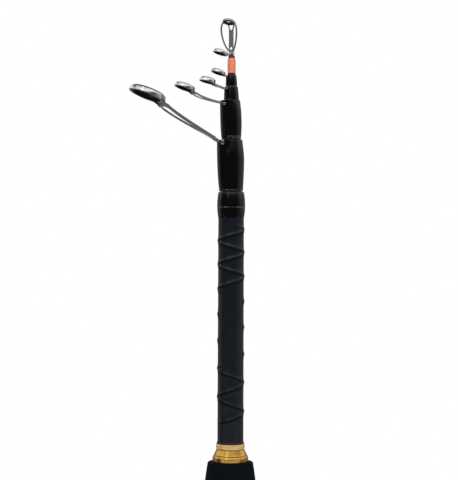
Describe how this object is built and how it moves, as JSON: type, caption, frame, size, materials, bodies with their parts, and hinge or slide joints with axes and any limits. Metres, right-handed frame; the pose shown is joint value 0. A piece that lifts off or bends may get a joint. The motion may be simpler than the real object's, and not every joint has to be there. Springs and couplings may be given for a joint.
{
  "type": "telescopic fishing rod",
  "caption": "Telescopic fishing rod, closed: nested carbon sections with slotted steel line guides, a ribbed shrink grip, foam grips, a screw reel seat and a butt cap.",
  "frame": {"origin": "centre of the bottom face of the butt pad", "axes": "+Z along the rod towards its tip; the line guides and the reel foot lie towards -X"},
  "size_m": [0.0852, 0.0346, 0.5714],
  "materials": {
    "carbon": "gloss carbon composite",
    "glass_tip": "solid glass composite",
    "black_winding": "varnished black thread",
    "orange_winding": "varnished bright orange thread",
    "red_whipping": "varnished dark red thread",
    "trim_thread": "metallic trim thread under varnish",
    "guide_steel": "polished stainless steel",
    "guide_ring": "black ceramic, polished",
    "sleeve": "matte shrink sleeve",
    "collar_gold": "gold anodised, satin",
    "seal": "dark, satin",
    "foam": "closed-cell foam, matte",
    "seat_black": "satin black",
    "arbor": "foam filler",
    "hood_steel": "brushed stainless steel",
    "knob_black": "black anodised",
    "ferrule": "plain aluminium",
    "pad_rubber": "soft, matte"
  },
  "bodies": {
    "butt": {"butt_blank": "carbon", "butt_winding": "black_winding", "butt_trim": "trim_thread", "grip_sleeve": "sleeve", "grip_ribs": "sleeve", "collar_seal": "seal", "fore_collar": "collar_gold", "foregrip": "foam", "reel_seat": "seat_black", "seat_arbor": "arbor", "fixed_hood": "hood_steel", "rear_trim_ring": "collar_gold", "rear_grip": "foam", "butt_ferrule": "ferrule"},
    "sliding_hood": {"sliding_hood": "hood_steel"},
    "lock_nut": {"lock_nut": "knob_black"},
    "cap_washer": {"cap_washer": "seal"},
    "butt_cap": {"butt_cap": "knob_black", "butt_pad": "pad_rubber", "cap_bumper": "pad_rubber"},
    "section_2": {"section_2_blank": "carbon", "section_2_winding": "black_winding", "section_2_trim": "trim_thread", "section_2_guide": "guide_steel", "section_2_ring": "guide_ring"},
    "section_3": {"section_3_blank": "carbon", "section_3_winding": "black_winding", "section_3_trim": "trim_thread", "section_3_guide": "guide_steel", "section_3_ring": "guide_ring"},
    "section_4": {"section_4_blank": "carbon", "section_4_winding": "black_winding", "section_4_guide": "guide_steel", "section_4_ring": "guide_ring"},
    "section_5": {"section_5_blank": "carbon", "section_5_winding": "black_winding", "section_5_guide": "guide_steel", "section_5_ring": "guide_ring"},
    "section_6": {"section_6_blank": "carbon", "section_6_winding": "orange_winding", "section_6_whipping": "red_whipping", "section_6_guide": "guide_steel", "section_6_ring": "guide_ring"},
    "tip": {"tip_blank": "glass_tip", "tip_top_frame": "guide_steel", "tip_top_ring": "guide_ring"}
  },
  "joints": [
    {"name": "section_2_draw", "type": "slide", "parent": "butt", "child": "section_2", "axis": [0, 0, 1], "range_m": [0, 0.3347]},
    {"name": "section_3_draw", "type": "slide", "parent": "section_2", "child": "section_3", "axis": [0, 0, 1], "range_m": [0, 0.3788]},
    {"name": "section_4_draw", "type": "slide", "parent": "section_3", "child": "section_4", "axis": [0, 0, 1], "range_m": [0, 0.4145]},
    {"name": "section_5_draw", "type": "slide", "parent": "section_4", "child": "section_5", "axis": [0, 0, 1], "range_m": [0, 0.4333]},
    {"name": "section_6_draw", "type": "slide", "parent": "section_5", "child": "section_6", "axis": [0, 0, 1], "range_m": [0, 0.4461]},
    {"name": "tip_draw", "type": "slide", "parent": "section_6", "child": "tip", "axis": [0, 0, 1], "range_m": [0, 0.4657]},
    {"name": "hood_slide", "type": "slide", "parent": "butt", "child": "sliding_hood", "axis": [0, 0, -1], "range_m": [0, 0.025]},
    {"name": "nut_turn", "type": "hinge", "parent": "sliding_hood", "child": "lock_nut", "pos_m": [0, 0, 0.1997], "axis": [0, 0, -1], "range_deg": [0, 3600]},
    {"name": "cap_lift", "type": "slide", "parent": "butt", "child": "cap_washer", "axis": [0, 0, -1], "range_m": [0, 0.012]},
    {"name": "cap_turn", "type": "hinge", "parent": "cap_washer", "child": "butt_cap", "pos_m": [0, 0, 0.008], "axis": [0, 0, -1], "range_deg": [0, 2880]}
  ],
  "couplings": [
    {"joint": "hood_slide", "follows": "nut_turn", "m_per_rad": 0.00039788},
    {"joint": "cap_lift", "follows": "cap_turn", "m_per_rad": 0.00023873}
  ]
}
